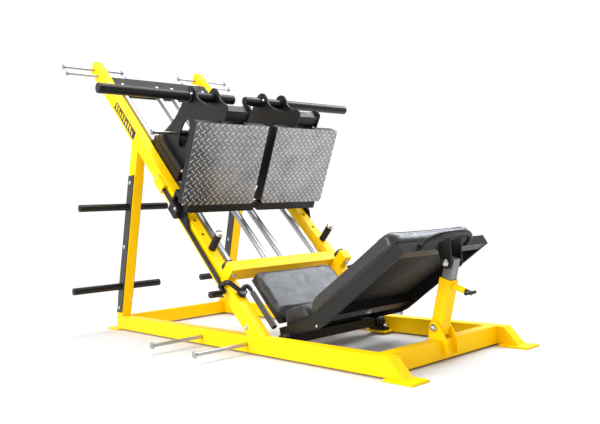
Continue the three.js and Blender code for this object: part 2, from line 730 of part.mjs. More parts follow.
function benchHandle() {
  const path = [
    [-150, 574, -19],
    [-147, 592, -18],
    [-130, 612, -15],
    [-100, 628, -12],
    [-58, 636, -10],
    [60, 635, -12],
    [95, 624, -19],
    [111, 602, -27],
    [115, 574, -32],
  ];
  const bar = bentBar(10, path.map(([x, t, h]) => [x, ...fromBack(BACK_LENGTH - 576 + t, h)]), 26);
  const half = BENCH_HALF - BENCH_PLATE_T + 3;
  const inFrame = acrossX(outline([
    fromBack(BACK_LENGTH - 60, 20),
    fromBack(BACK_LENGTH + GAP, 20),
    fromBack(BACK_LENGTH + GAP, -60),
    fromBack(BACK_LENGTH - 60, -60),
  ].reverse()), [-half, half]);
  return weld([bar], [inFrame]);
}

function pillowBlock(side) {
  const xs = onSide(side, [268, 304]);
  const base = 18 + GAP;
  const pieces = [
    block(xs, [AXLE.y - 50, AXLE.y + 50], [base, base + 12]),
    block(xs, [AXLE.y - 24, AXLE.y + 24], [base, AXLE.z]),
    roundX(26, xs, AXLE.y, AXLE.z),
    roundZ(7, [base, base + 20], side * 286, AXLE.y - 38, 6),
    roundZ(7, [base, base + 20], side * 286, AXLE.y + 38, 6),
  ];
  return weld(pieces, [roundX(AXLE.r + RUNNING_GAP, onSide(side, [260, 310]), AXLE.y, AXLE.z)]);
}

add('bench_frame', benchFrame(), black, bench);
add('back_pad', backPad(), vinyl, bench);
add('hip_pad', hipPad(), vinyl, bench);
add('seat_pad', seatPad(), vinyl, bench);
add('bench_handle', benchHandle(), black, bench);
for (const [label, side] of Object.entries(SIDES)) {
  add(`pillow_block_${label}`, pillowBlock(side), black);
}

// ---------- telescopic strut ----------
const strut = new THREE.Group();
strut.position.set(0, ...STRUT_FOOT);
strut.rotation.x = Math.atan2(STRUT_FOOT[0] - STRUT_TOP[0], STRUT_TOP[1] - STRUT_FOOT[1]);
machine.add(strut);

const POP_PIN = { z: 168, boss: 80, r: 6 };

function strutOuter() {
  const { half, z } = STRUT_OUTER;
  const inside = half - WALL;
  return weld([
    block([-half, half], [-half, half], z),
    roundY(12, [-POP_PIN.boss, -half + 2], 0, POP_PIN.z),
    roundX(PIVOT_R, [-EAR_X[1] - 3, EAR_X[1] + 3], 0, 0, 16),
    roundX(PIVOT_HEAD.r, [EAR_X[1] + 1, EAR_X[1] + 1 + PIVOT_HEAD.t], 0, 0, 6),
    roundX(PIVOT_HEAD.r, [-EAR_X[1] - 1 - PIVOT_HEAD.t, -EAR_X[1] - 1], 0, 0, 6),
  ], [
    block([-inside, inside], [-inside, inside], [18, z[1] + 5]),
    roundY(POP_PIN.r + GAP, [-POP_PIN.boss - 5, -inside + 3], 0, POP_PIN.z, 16),
  ]);
}

function strutInner() {
  const { half, z } = STRUT_INNER;
  const inside = half - WALL;
  return weld([block([-half, half], [-half, half], z)], [
    block([-inside, inside], [-inside, inside], [z[0] - 5, z[1] - WALL]),
  ]);
}

function popPin() {
  const tip = -STRUT_INNER.half - 0.5;
  return weld([
    roundY(POP_PIN.r - GAP, [-POP_PIN.boss - 12, tip], 0, POP_PIN.z, 16),
    roundY(9, [-POP_PIN.boss - 26, -POP_PIN.boss - 2], 0, POP_PIN.z, 16),
    roundX(7, [-30, 30], -POP_PIN.boss - 20, POP_PIN.z, 16),
  ]);
}

add('strut_outer', strutOuter(), yellow, strut);
add('strut_inner', strutInner(), zinc, strut);
add('pop_pin', popPin(), black, strut);

export default machine;
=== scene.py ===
"""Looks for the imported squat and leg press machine: paint, chrome, tread pattern, upholstery and fasteners.

Design coordinates follow the CAD source, in metres: X across, Y from the front crossmember, Z up.
Slope coordinates are x, s along the rails from their foot, and n square to them.
"""
import json
import math

import bmesh
import bpy
from mathutils import Matrix, Vector, noise
from mathutils.bvhtree import BVHTree

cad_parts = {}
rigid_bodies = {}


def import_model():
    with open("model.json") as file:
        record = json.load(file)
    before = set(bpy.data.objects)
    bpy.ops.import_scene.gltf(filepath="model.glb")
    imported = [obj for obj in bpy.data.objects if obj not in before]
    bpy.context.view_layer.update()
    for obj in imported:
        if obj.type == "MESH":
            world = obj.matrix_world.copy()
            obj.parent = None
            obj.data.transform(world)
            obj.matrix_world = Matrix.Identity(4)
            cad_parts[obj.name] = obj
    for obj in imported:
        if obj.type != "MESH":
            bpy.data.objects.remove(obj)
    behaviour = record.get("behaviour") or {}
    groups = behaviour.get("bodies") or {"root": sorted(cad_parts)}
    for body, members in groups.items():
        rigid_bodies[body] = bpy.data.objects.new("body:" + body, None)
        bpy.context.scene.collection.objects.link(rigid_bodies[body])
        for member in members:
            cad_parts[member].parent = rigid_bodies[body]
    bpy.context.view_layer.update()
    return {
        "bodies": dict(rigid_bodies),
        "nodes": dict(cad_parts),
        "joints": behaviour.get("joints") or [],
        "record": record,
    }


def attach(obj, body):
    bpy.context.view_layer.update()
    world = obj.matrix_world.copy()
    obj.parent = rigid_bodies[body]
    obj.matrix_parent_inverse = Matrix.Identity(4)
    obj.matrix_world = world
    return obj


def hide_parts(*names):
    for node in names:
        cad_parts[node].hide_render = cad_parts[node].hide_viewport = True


# ---------- dimensions shared with the CAD source ----------
MID_Y = 1.024006
RAIL_FOOT = (0.760, 0.078)
SLOPE = math.radians(45)
HALF_WIDTH = 0.370
HOLE_X = 0.345
UPRIGHT_LEAN = math.radians(17.2)
UPRIGHT_REAR_Y = 2.010
UPRIGHT_HALF_DEPTH = 0.035
ROD_X = (0.272, 0.050)
FOOT_PLATE_AT = (0.667, 0.146)
FOOT_PLATE_TILT = math.radians(19.3)
FOOT_PLATE_X = (0.027, 0.433)
FOOT_PLATE_HEIGHT = 0.402
BENCH_BEND = (0.480, 0.150)
AXLE_Y = 0.610
BACK_ANGLE = math.radians(31.5)
HIP_ANGLE = math.radians(13.8)
STRUT_FOOT = (0.031, 0.122)
STRUT_TOP = (-0.043, 0.364)
SIDES = {"left": -1, "right": 1}

BOARD = 0.009
VOXEL = {"back": 0.0065, "hip": 0.005, "seat": 0.0055}
PUFF_LIMIT = 0.006
PUFF_FRAMES = 14
PAD_EDGE_ROUND = 0.007
BOARD_END_GAP = 0.008
BOARD_OVERLAP = 0.002
FASTENER_SINK = 0.0005


# ---------- places ----------
def at(x, y, z):
    """Design coordinates to the row frame."""
    return Vector((x, y - MID_Y, z))


def on_slope(x, s, n):
    c = math.cos(SLOPE)
    return at(x, RAIL_FOOT[0] + (s - n) * c, RAIL_FOOT[1] + (s + n) * c)


def on_back(x, t, h):
    c, s = math.cos(BACK_ANGLE), math.sin(BACK_ANGLE)
    return at(x, BENCH_BEND[0] - t * c + h * s, BENCH_BEND[1] + t * s + h * c)


def on_hip(x, t, h):
    c, s = math.cos(HIP_ANGLE), math.sin(HIP_ANGLE)
    return at(x, BENCH_BEND[0] + t * c + h * s, BENCH_BEND[1] - t * s + h * c)


def on_foot_plate(x, up, out):
    """Up the foot plate from its lower edge, and out of its front face."""
    c, s = math.cos(FOOT_PLATE_TILT), math.sin(FOOT_PLATE_TILT)
    return on_slope(x, FOOT_PLATE_AT[0] + up * s - out * c, FOOT_PLATE_AT[1] + up * c + out * s)


def upright_y(z):
    half = UPRIGHT_HALF_DEPTH / math.cos(UPRIGHT_LEAN)
    return UPRIGHT_REAR_Y - half - (z - RAIL_FOOT[1]) * math.tan(UPRIGHT_LEAN)


def direction(place, step):
    """Unit vector that a step makes in a place function's coordinates."""
    return (place(*step) - place(0, 0, 0)).normalized()


SLOPE_N = direction(on_slope, (0, 0, 1))
SLOPE_S = direction(on_slope, (0, 1, 0))
BACK_H = direction(on_back, (0, 0, 1))
ACROSS = Vector((1, 0, 0))


# ---------- materials ----------
class Look:
    """A Principled material with helpers for procedural detail in object coordinates."""

    def __init__(self, name, colour, roughness, metallic=0.0):
        self.material = bpy.data.materials.new(name)
        self.material.use_nodes = True
        self.nodes = self.material.node_tree.nodes
        self.links = self.material.node_tree.links
        self.shader = self.nodes["Principled BSDF"]
        self.shader.inputs["Base Color"].default_value = (*colour, 1)
        self.shader.inputs["Roughness"].default_value = roughness
        self.shader.inputs["Metallic"].default_value = metallic
        self.coordinates = self.nodes.new("ShaderNodeTexCoord").outputs["Object"]
        self.bump = None

    def set(self, socket, value):
        self.shader.inputs[socket].default_value = value
        return self

    def noise(self, scale, detail=3.0, stretch=None):
        source = self.coordinates
        if stretch:
            mapping = self.nodes.new("ShaderNodeMapping")
            mapping.inputs["Scale"].default_value = stretch
            self.links.new(source, mapping.inputs["Vector"])
            source = mapping.outputs["Vector"]
        texture = self.nodes.new("ShaderNodeTexNoise")
        texture.inputs["Scale"].default_value = scale
        texture.inputs["Detail"].default_value = detail
        self.links.new(source, texture.inputs["Vector"])
        return texture.outputs["Fac"]

    def cells(self, scale):
        texture = self.nodes.new("ShaderNodeTexVoronoi")
        texture.feature = "DISTANCE_TO_EDGE"
        texture.inputs["Scale"].default_value = scale
        self.links.new(self.coordinates, texture.inputs["Vector"])
        return texture.outputs["Distance"]

    def ramp(self, value, stops):
        ramp = self.nodes.new("ShaderNodeValToRGB")
        elements = ramp.color_ramp.elements
        while len(elements) < len(stops):
            elements.new(0.5)
        for element, (place, colour) in zip(elements, stops):
            element.position = place
            element.color = (*colour, 1)
        self.links.new(value, ramp.inputs["Fac"])
        return ramp.outputs["Color"]

    def vary_colour(self, value, stops):
        self.links.new(self.ramp(value, stops), self.shader.inputs["Base Color"])
        return self

    def vary_roughness(self, value, low, high, lows=0.3, highs=0.7):
        stops = [(lows, (low,) * 3), (highs, (high,) * 3)]
        self.links.new(self.ramp(value, stops), self.shader.inputs["Roughness"])
        return self

    def add_bump(self, value, strength, distance):
        bump = self.nodes.new("ShaderNodeBump")
        bump.inputs["Strength"].default_value = strength
        bump.inputs["Distance"].default_value = distance
        self.links.new(value, bump.inputs["Height"])
        if self.bump:
            self.links.new(self.bump, bump.inputs["Normal"])
        self.bump = bump.outputs["Normal"]
        self.links.new(self.bump, self.shader.inputs["Normal"])
        return self


def yellow_paint():
    look = Look("yellow_powder_coat", (1.0, 0.60, 0.0), 0.4)
    look.set("Specular IOR Level", 0.12)
    look.vary_colour(look.noise(9), [(0.3, (1.0, 0.585, 0.0)), (0.7, (1.0, 0.615, 0.0))])
    look.vary_roughness(look.noise(60), 0.36, 0.46)
    look.add_bump(look.noise(420, 2), 0.08, 0.0004)
    return look.material


def black_paint(name, colour, roughness, grain):
    look = Look(name, (colour,) * 3, roughness)
    look.set("Specular IOR Level", 0.26)
    darker = (colour * 0.7,) * 3
    lighter = (colour * 1.3, colour * 1.3, colour * 1.45)
    look.vary_colour(look.noise(700, 4), [(0.35, darker), (0.65, lighter)])
    look.vary_roughness(look.noise(35), roughness - 0.06, roughness + 0.06)
    look.add_bump(look.noise(1100, 3), grain, 0.0004)
    return look.material


def chrome():
    look = Look("polished_chrome", (0.42, 0.43, 0.45), 0.36, 1.0)
    look.vary_roughness(look.noise(14), 0.32, 0.4)
    return look.material


def zinc(name, colour, roughness):
    look = Look(name, (colour,) * 3, roughness, 0.9)
    stops = [(0.3, (colour * 0.85,) * 3), (0.7, (colour * 1.1,) * 3)]
    look.vary_colour(look.noise(70, 4, (1, 1, 0.15)), stops)
    look.vary_roughness(look.noise(120), roughness - 0.06, roughness + 0.08)
    look.add_bump(look.noise(500, 2), 0.06, 0.0003)
    return look.material


def tread_metal(name, dark, light, roughness):
    look = Look(name, (light,) * 3, roughness, 0.95)
    stops = [(0.25, (dark, dark, dark * 1.04)), (0.6, (light, light, light * 1.02))]
    look.vary_colour(look.noise(11, 6), stops)
    look.vary_roughness(look.noise(45, 5), roughness - 0.08, roughness + 0.08)
    look.add_bump(look.noise(260, 4), 0.05, 0.0003)
    return look.material


def vinyl():
    look = Look("black_vinyl", (0.012, 0.012, 0.014), 0.42)
    look.set("Specular IOR Level", 0.5).set("Sheen Weight", 0.08).set("Sheen Roughness", 0.5)
    look.vary_roughness(look.noise(22, 4), 0.36, 0.48)
    look.add_bump(look.noise(28, 2), 0.10, 0.0035)
    look.add_bump(look.cells(620), 0.16, 0.0004)
    look.add_bump(look.noise(900, 3), 0.12, 0.0003)
    return look.material


def rubber(name, colour, roughness, scale):
    look = Look(name, (colour,) * 3, roughness)
    look.vary_roughness(look.noise(50), roughness - 0.06, roughness + 0.06)
    look.add_bump(look.noise(scale, 3), 0.2, 0.0004)
    return look.material


def make_looks():
    return {
        "yellow": yellow_paint(),
        "black": black_paint("black_texture_coat", 0.008, 0.42, 0.25),
        "satin": black_paint("black_satin_coat", 0.010, 0.3, 0.08),
        "chrome": chrome(),
        "zinc": zinc("grey_zinc", 0.20, 0.4),
        "bolt": zinc("bright_zinc", 0.62, 0.24),
        "tread": tread_metal("aluminium_tread", 0.16, 0.23, 0.26),
        # The lozenges get the tread aluminium made about three times lighter, a painted highlight for their
        # raised tops.
        "lozenge": tread_metal("aluminium_lozenge_painted_highlight", 0.55, 0.75, 0.26),
        "vinyl": vinyl(),
        "thread": rubber("seam_thread", 0.03, 0.5, 900),
        "rubber": rubber("black_rubber", 0.014, 0.5, 700),
        "plastic": rubber("black_plastic", 0.022, 0.45, 500),
        "board": rubber("black_board", 0.008, 0.7, 300),
    }


NODE_LOOKS = [
    ("storage_horn", "satin"),
    ("loading_bar", "satin"),
    ("bench_handle", "satin"),
    ("lock_lever", "satin"),
    ("pop_pin", "satin"),
    ("base_band_peg", "chrome"),
    ("top_band_peg", "chrome"),
    ("carriage_band_peg", "chrome"),
    ("guide_rod", "chrome"),
    ("base_", "yellow"),
    ("upright", "yellow"),
    ("incline_rail", "yellow"),
    ("rod_crossmember", "yellow"),
    ("strut_outer", "yellow"),
    ("strut_inner", "zinc"),
    ("tread_plate", "tread"),
    ("wear_strip", "plastic"),
    ("bumper", "rubber"),
    ("lock_grip", "rubber"),
]
EDGE_WIDTH = {
    "lock_grip": 0.0035,
    "storage_horn": 0.003,
    "loading_bar": 0.003,
    "bumper": 0.003,
}
PLAIN_EDGE = 0.0016


def look_of(node):
    for prefix, look in NODE_LOOKS:
        if node.startswith(prefix):
            return look
    return "black"


def smooth_shading():
    """Node group that shades every face of a mesh smooth."""
    group = bpy.data.node_groups.get("smooth_shading")
    if group:
        return group
    group = bpy.data.node_groups.new("smooth_shading", "GeometryNodeTree")
    group.interface.new_socket("Geometry", in_out="INPUT", socket_type="NodeSocketGeometry")
    group.interface.new_socket("Geometry", in_out="OUTPUT", socket_type="NodeSocketGeometry")
    source = group.nodes.new("NodeGroupInput")
    smooth = group.nodes.new("GeometryNodeSetShadeSmooth")
    result = group.nodes.new("NodeGroupOutput")
    group.links.new(source.outputs[0], smooth.inputs["Geometry"])
    group.links.new(smooth.outputs["Geometry"], result.inputs[0])
    return group


def soften_edges(piece, width, round_bar=False):
    """Welds split corners and rounds every sharp edge a little; a round bar only gets crisp rims."""
    weld = piece.modifiers.new("weld", "WELD")
    weld.merge_threshold = 1e-5
    if round_bar:
        piece.modifiers.new("rims", "EDGE_SPLIT").split_angle = math.radians(40)
        piece.modifiers.new("round", "NODES").node_group = smooth_shading()
        piece.modifiers.new("normals", "WEIGHTED_NORMAL").keep_sharp = False
        return
    flat = piece.modifiers.new("flat", "DECIMATE")
    flat.decimate_type = "DISSOLVE"
    flat.angle_limit = math.radians(0.5)
    bevel = piece.modifiers.new("edge", "BEVEL")
    bevel.width = width
    bevel.segments = 2
    bevel.limit_method = "ANGLE"
    bevel.angle_limit = math.radians(32)
    bevel.use_clamp_overlap = True
    normals = piece.modifiers.new("normals", "WEIGHTED_NORMAL")
    normals.keep_sharp = False


def dress_nodes(frame, looks):
    for name, node in frame["nodes"].items():
        node.data.materials.clear()
        node.data.materials.append(looks[look_of(name)])
        if name.endswith("_pad"):
            continue
        widths = [w for prefix, w in EDGE_WIDTH.items() if name.startswith(prefix)]
        soften_edges(node, widths[0] if widths else PLAIN_EDGE, look_of(name) == "chrome")


# ---------- mesh helpers ----------
def add_object(name, bm):
    """New object in the scene from a finished bmesh."""
    mesh = bpy.data.meshes.new(name)
    bm.to_mesh(mesh)
    bm.free()
    piece = bpy.data.objects.new(name, mesh)
    bpy.context.scene.collection.objects.link(piece)
    return piece


def new_piece(name, bm, look, body):
    """Smooth-shaded piece of the part that rides on a body."""
    piece = add_object(name, bm)
    for polygon in piece.data.polygons:
        polygon.use_smooth = True
    piece.data.materials.append(look)
    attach(piece, body)
    return piece


def basis(normal, hint=ACROSS):
    """Two unit vectors square to a normal, the first one near the hint."""
    u = hint - normal * hint.dot(normal)
    if u.length < 1e-3:
        u = Vector((0, 0, 1)) - normal * normal.z
    u.normalize()
    return u, normal.cross(u)


def add_rings(bm, centre, axis, rings, sides):
    """Closed turned solid: rings are (distance along the axis, radius)."""
    u, v = basis(axis)
    loops = []
    for height, radius in rings:
        loop = []
        for i in range(sides):
            angle = 2 * math.pi * i / sides
            offset = (u * math.cos(angle) + v * math.sin(angle)) * radius
            loop.append(bm.verts.new(centre + axis * height + offset))
        loops.append(loop)
    for low, high in zip(loops, loops[1:]):
        for i in range(sides):
            j = (i + 1) % sides
            bm.faces.new((low[i], low[j], high[j], high[i]))
    bm.faces.new(list(reversed(loops[0])))
    bm.faces.new(loops[-1])


def add_bolt(bm, centre, axis, radius, height, washer=True):
    """Hex bolt head with a washer and a chamfered top."""
    base = 0.0
    if washer:
        base = radius * 0.18
        add_rings(bm, centre, axis, [(-FASTENER_SINK, radius * 1.32), (base, radius * 1.32)], 20)
    top = base + height
    rings = [(base - FASTENER_SINK, radius), (top - height * 0.2, radius), (top, radius * 0.84)]
    add_rings(bm, centre, axis, rings, 6)
    dimple = [(top - 0.0003, radius * 0.45), (top + height * 0.05, radius * 0.3)]
    add_rings(bm, centre, axis, dimple, 12)


def add_screw(bm, centre, axis, radius, height):
    """Round head screw with a domed top."""
    rings = [
        (-FASTENER_SINK, radius),
        (height * 0.45, radius),
        (height * 0.85, radius * 0.7),
        (height, radius * 0.35),
    ]
    add_rings(bm, centre, axis, rings, 16)


def add_tube(bm, path, radius, sides=8, closed=False):
    """Round tube along a list of points."""
    count = len(path)
    loops = []
    side = None
    for i, point in enumerate(path):
        before = path[i - 1] if (i or closed) else point
        after = path[(i + 1) % count] if (i + 1 < count or closed) else point
        tangent = (after - before).normalized()
        if side is None:
            side, _ = basis(tangent, Vector((0, 0, 1)))
        side = (side - tangent * side.dot(tangent)).normalized()
        other = tangent.cross(side)
        loop = []
        for k in range(sides):
            angle = 2 * math.pi * k / sides
            offset = (side * math.cos(angle) + other * math.sin(angle)) * radius
            loop.append(bm.verts.new(point + offset))
        loops.append(loop)
    pairs = list(zip(loops, loops[1:]))
    if closed:
        pairs.append((loops[-1], loops[0]))
    for low, high in pairs:
        for k in range(sides):
            m = (k + 1) % sides
            bm.faces.new((low[k], low[m], high[m], high[k]))
    if not closed:
        bm.faces.new(list(reversed(loops[0])))
        bm.faces.new(loops[-1])


def add_prism(bm, place, outline, across):
    """Closed solid from a side outline given as (a, b) pairs, between two X values."""
    near = [bm.verts.new(place(across[0], a, b)) for a, b in outline]
    far = [bm.verts.new(place(across[1], a, b)) for a, b in outline]
    count = len(outline)
    for i in range(count):
        j = (i + 1) % count
        bm.faces.new((near[i], near[j], far[j], far[i]))
    bm.faces.new(list(reversed(near)))
    bm.faces.new(far)
    bmesh.ops.recalc_face_normals(bm, faces=bm.faces)


# ---------- upholstery ----------
PADS = {
    "back": {
        "place": on_back,
        "node": "back_pad",
        "half": 0.246,
        "outline": [(-0.002, 0), (0.552, 0), (0.552, 0.052), (0.545, 0.068), (0.030, 0.068), (0.0, 0.040)],
        "floor": 0.0005,
        "corner": 0.034,
        "board_inset": -0.004,
    },
    "hip": {
        "place": on_hip,
        "node": "hip_pad",
        "half": 0.226,
        "outline": [(0.033, 0), (0.206, 0), (0.202, 0.056), (0.196, 0.064), (0.056, 0.064), (0.044, 0.054)],
        "floor": 0.0005,
        "corner": 0.024,
        "board_inset": 0.006,
    },
    "seat": {
        "place": on_slope,
        "node": "seat_pad",
        "half": 0.240,
        "outline": [(-0.013, 0), (0.258, 0), (0.258, 0.047), (0.254, 0.052), (0.022, 0.051), (-0.013, 0.026)],
        "floor": 0.0505,
        "corner": 0.036,
        "board_inset": 0.014,
    },
}


def pad_blank(pad):
    """Firm foam block with rounded corners, standing on its board."""
    floor = pad["floor"] + BOARD
    top = max(h for _, h in pad["outline"])
    outline = []
    for t, h in pad["outline"]:
        share = h / top
        outline.append((t, floor + share * (top - BOARD)))
    bm = bmesh.new()
    add_prism(bm, pad["place"], outline, (-pad["half"], pad["half"]))
    side = [e for e in bm.edges if is_plan_corner(e, pad)]
    bmesh.ops.bevel(bm, geom=side, offset=pad["corner"], segments=5, profile=0.5, affect="EDGES")
    sharp = [e for e in bm.edges if len(e.link_faces) == 2 and e.calc_face_angle() > math.radians(28)]
    bmesh.ops.bevel(bm, geom=sharp, offset=PAD_EDGE_ROUND, segments=3, profile=0.5, affect="EDGES")
    return bm


def is_plan_corner(edge, pad):
    """True on the four corner edges between a pad's long sides and its ends."""
    if len(edge.link_faces) != 2:
        return False
    a, b = edge.verts
    if abs(a.co.x - b.co.x) > 1e-6:
        return False
    up = direction(pad["place"], (0, 0, 1))
    return abs((a.co - b.co).normalized().dot(up)) > 0.6


def inflate(piece, pad):
    """Cloth pressure puffs the cover; the underside stays on the board and no point goes past the limit."""
    rest = [v.co.copy() for v in piece.data.vertices]
    up = direction(pad["place"], (0, 0, 1))
    floor = pad["place"](0, 0, pad["floor"] + BOARD).dot(up)
    pinned = [v.index for v in piece.data.vertices if v.co.dot(up) < floor + 0.004]
    group = piece.vertex_groups.new(name="held")
    group.add(pinned, 1.0, "REPLACE")
    cloth = piece.modifiers.new("puff", "CLOTH")
    settings = cloth.settings
    settings.quality = 4
    settings.mass = 0.3
    settings.use_pressure = True
    settings.uniform_pressure_force = 4.0
    settings.tension_stiffness = 30
    settings.compression_stiffness = 30
    settings.shear_stiffness = 10
    settings.bending_stiffness = 1.5
    settings.vertex_group_mass = "held"
    settings.effector_weights.gravity = 0.0
    cloth.point_cache.frame_start = 1
    cloth.point_cache.frame_end = PUFF_FRAMES
    for frame in range(1, PUFF_FRAMES + 1):
        bpy.context.scene.frame_set(frame)
    graph = bpy.context.evaluated_depsgraph_get()
    puffed = piece.evaluated_get(graph).to_mesh()
    places = [v.co.copy() for v in puffed.vertices]
    piece.evaluated_get(graph).to_mesh_clear()
    piece.modifiers.remove(cloth)
    bpy.context.scene.frame_set(1)
    for vertex, start, end in zip(piece.data.vertices, rest, places):
        move = end - start
        if move.length > PUFF_LIMIT:
            move *= PUFF_LIMIT / move.length
        vertex.co = start + move


def settle(piece, pad):
    """Crowns the cover, and pulls in small puckers along its border."""
    place = pad["place"]
    up = direction(place, (0, 0, 1))
    along = direction(place, (0, 1, 0))
    centre_t = sum(t for t, _ in pad["outline"]) / len(pad["outline"])
    reach = max(t for t, _ in pad["outline"]) - centre_t
    middle = place(0, centre_t, pad["floor"])
    for vertex in piece.data.vertices:
        offset = vertex.co - middle
        height = offset.dot(up)
        if height < 0.02:
            continue
        u = min(1.0, abs(offset.x) / pad["half"])
        v = min(1.0, abs(offset.dot(along)) / reach)
        crown = (1 - u ** 4) * (1 - v ** 4)
        border = max(u, v) ** 10
        pucker = noise.noise(vertex.co * 55) * 0.0009 * border
        dent = noise.noise(vertex.co * 9) * 0.0008 * crown
        vertex.co += up * (0.002 * crown + (pucker + dent))


def welt_path(pad, height, inset):
    """Rounded rectangle round a pad's border, at a height above its board."""
    low = min(t for t, _ in pad["outline"]) + inset
    high = max(t for t, _ in pad["outline"]) - inset
    wide = pad["half"] - inset
    radius = pad["corner"]
    path = []
    corners = [(wide, high, 0), (-wide, high, 90), (-wide, low, 180), (wide, low, 270)]
    for x, t, start in corners:
        cx = x - math.copysign(radius, x)
        ct = t - radius if t == high else t + radius
        for k in range(7):
            angle = math.radians(start + 15 * k)
            path.append((cx + radius * math.cos(angle), ct + radius * math.sin(angle)))
    dense = []
    for (x0, t0), (x1, t1) in zip(path, path[1:] + path[:1]):
        steps = max(1, int(math.hypot(x1 - x0, t1 - t0) / 0.02))
        for k in range(steps):
            share = k / steps
            dense.append(pad["place"](x0 + (x1 - x0) * share, t0 + (t1 - t0) * share, pad["floor"] + height))
    return dense


def add_welt(bm, piece, pad, height, inset, radius):
    """A sewn edge that lies on the cover's own surface."""
    graph = bpy.context.evaluated_depsgraph_get()
    tree = BVHTree.FromObject(piece, graph)
    path = [tree.find_nearest(point)[0] for point in welt_path(pad, height, inset)]
    for _ in range(3):
        path = [(path[i - 1] + path[i] * 2 + path[(i + 1) % len(path)]) / 4 for i in range(len(path))]
    add_tube(bm, path, radius, 6, closed=True)


def make_cushion(name, pad, looks):
    """Foam block under a puffed and crowned vinyl cover."""
    piece = new_piece(f"{name}_cushion", pad_blank(pad), looks["vinyl"], "bench")
    remesh = piece.modifiers.new("voxels", "REMESH")
    remesh.mode = "VOXEL"
    remesh.voxel_size = VOXEL[name]
    remesh.use_smooth_shade = True
    smooth = piece.modifiers.new("smooth", "SMOOTH")
    smooth.iterations = 1
    graph = bpy.context.evaluated_depsgraph_get()
    mesh = bpy.data.meshes.new_from_object(piece.evaluated_get(graph))
    piece.modifiers.clear()
    piece.data = mesh
    inflate(piece, pad)
    settle(piece, pad)
    piece.modifiers.new("fine", "SUBSURF").levels = 1
    piece.modifiers["fine"].render_levels = 1
    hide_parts(pad["node"])
    return piece


def make_seams(name, piece, pad, looks):
    """Sewn edges round the top and the foot of a cushion."""
    top = max(h for _, h in pad["outline"])
    seams = bmesh.new()
    bpy.context.view_layer.update()
    add_welt(seams, piece, pad, top - 0.001, 0.004, 0.0016)
    add_welt(seams, piece, pad, BOARD + 0.006, 0.0, 0.0012)
    new_piece(f"{name}_seams", seams, looks["thread"], "bench")


def make_board(name, pad, looks):
    """Stiff board that a cushion stands on."""
    board = bmesh.new()
    ends = [t for t, h in pad["outline"] if h == 0]
    low = ends[0] + BOARD_END_GAP
    high = ends[1] - BOARD_END_GAP
    floor = pad["floor"]
    top = floor + BOARD + BOARD_OVERLAP
    outline = [(low, floor), (high, floor), (high, top), (low, top)]
    wide = pad["half"] - pad["board_inset"]
    add_prism(board, pad["place"], outline, (-wide, wide))
    new_piece(f"{name}_board", board, looks["board"], "bench")


def make_pad(name, pad, looks):
    piece = make_cushion(name, pad, looks)
    make_seams(name, piece, pad, looks)
    make_board(name, pad, looks)


# ---------- tread pattern ----------
LOZENGE_PITCH = 0.0335
LOZENGE_LENGTH = 0.0255
LOZENGE_WIDTH = 0.0056
LOZENGE_RISE = 0.0014
LOZENGE_MARGIN = 0.009


def add_lozenge(bm, place, x, up, angle):
    """One raised pointed bar with a rounded back."""
    half = LOZENGE_LENGTH / 2
    rings = []
    for share, rise in ((1.0, -0.0003), (0.72, LOZENGE_RISE * 0.75), (0.35, LOZENGE_RISE)):
        ring = []
        for k in range(12):
            a = 2 * math.pi * k / 12
            along = half * math.cos(a) * (0.35 * share + 0.65)
            across = LOZENGE_WIDTH / 2 * math.sin(a) * share * abs(math.sin(a)) ** 0.3
            dx = along * math.cos(angle) - across * math.sin(angle)
            dz = along * math.sin(angle) + across * math.cos(angle)
            ring.append(bm.verts.new(place(x + dx, up + dz, rise)))
        rings.append(ring)
    for low, high in zip(rings, rings[1:]):
        for k in range(12):
            m = (k + 1) % 12
            bm.faces.new((low[k], low[m], high[m], high[k]))
    bm.faces.new(rings[-1])


def tread_pattern(label, side, looks):
    """Two crossed grids of bars, the second one shifted by half a pitch."""
    bm = bmesh.new()
    width = FOOT_PLATE_X[1] - FOOT_PLATE_X[0] - 2 * LOZENGE_MARGIN
    height = FOOT_PLATE_HEIGHT - 2 * LOZENGE_MARGIN
    columns = round(width / LOZENGE_PITCH)
    rows = round(height / LOZENGE_PITCH)
    for shift, lean in ((0.0, -45), (0.5, 45)):
        for column in range(columns + (shift == 0)):
            for row in range(rows + (shift == 0)):
                x = FOOT_PLATE_X[0] + LOZENGE_MARGIN + width * (column + shift) / columns
                up = LOZENGE_MARGIN + height * (row + shift) / rows
                add_lozenge(bm, on_foot_plate, side * x, up, math.radians(lean * side))
    bmesh.ops.recalc_face_normals(bm, faces=bm.faces)
    # The bars take the lighter aluminium, a painted highlight on the same metal as the plate.
    new_piece(f"tread_lozenges_{label}", bm, looks["lozenge"], f"carriage_{label}")


# ---------- fasteners ----------
def frame_bolts(looks):
    bm = bmesh.new()
    for side in SIDES.values():
        out = ACROSS * side
        for z in (0.127, 0.466, 0.812):
            add_bolt(bm, at(side * 0.3785, upright_y(z), z), out, 0.0085, 0.005)
            add_bolt(bm, at(side * 0.3145, upright_y(z), z), -out, 0.0075, 0.004)
        add_bolt(bm, on_slope(side * HALF_WIDTH, 0.025, 0.024), out, 0.009, 0.006)
        add_screw(bm, on_slope(side * HALF_WIDTH, 1.899, 0.032), out, 0.006, 0.003)
        for s, n in ((0.985, 0.058), (0.985, 0.026), (0.914, 0.026)):
            add_screw(bm, on_slope(side * 0.396, s, n), out, 0.005, 0.003)
        for s in (1.818, 1.981):
            add_screw(bm, on_slope(side * HOLE_X, s, 0.070), SLOPE_N, 0.005, 0.002)
        for x in ROD_X:
            add_screw(bm, on_slope(side * x, 1.806, 0.070), SLOPE_N, 0.009, 0.005)
        add_bolt(bm, on_slope(side * HOLE_X, 0.253, 0.100), -SLOPE_S, 0.0095, 0.007)
        for y in (-0.038, 0.038):
            add_bolt(bm, at(side * 0.286, AXLE_Y + y, 0.0383), Vector((0, 0, 1)), 0.0095, 0.006)
    new_piece("bolts_frame", bm, looks["bolt"], "frame")


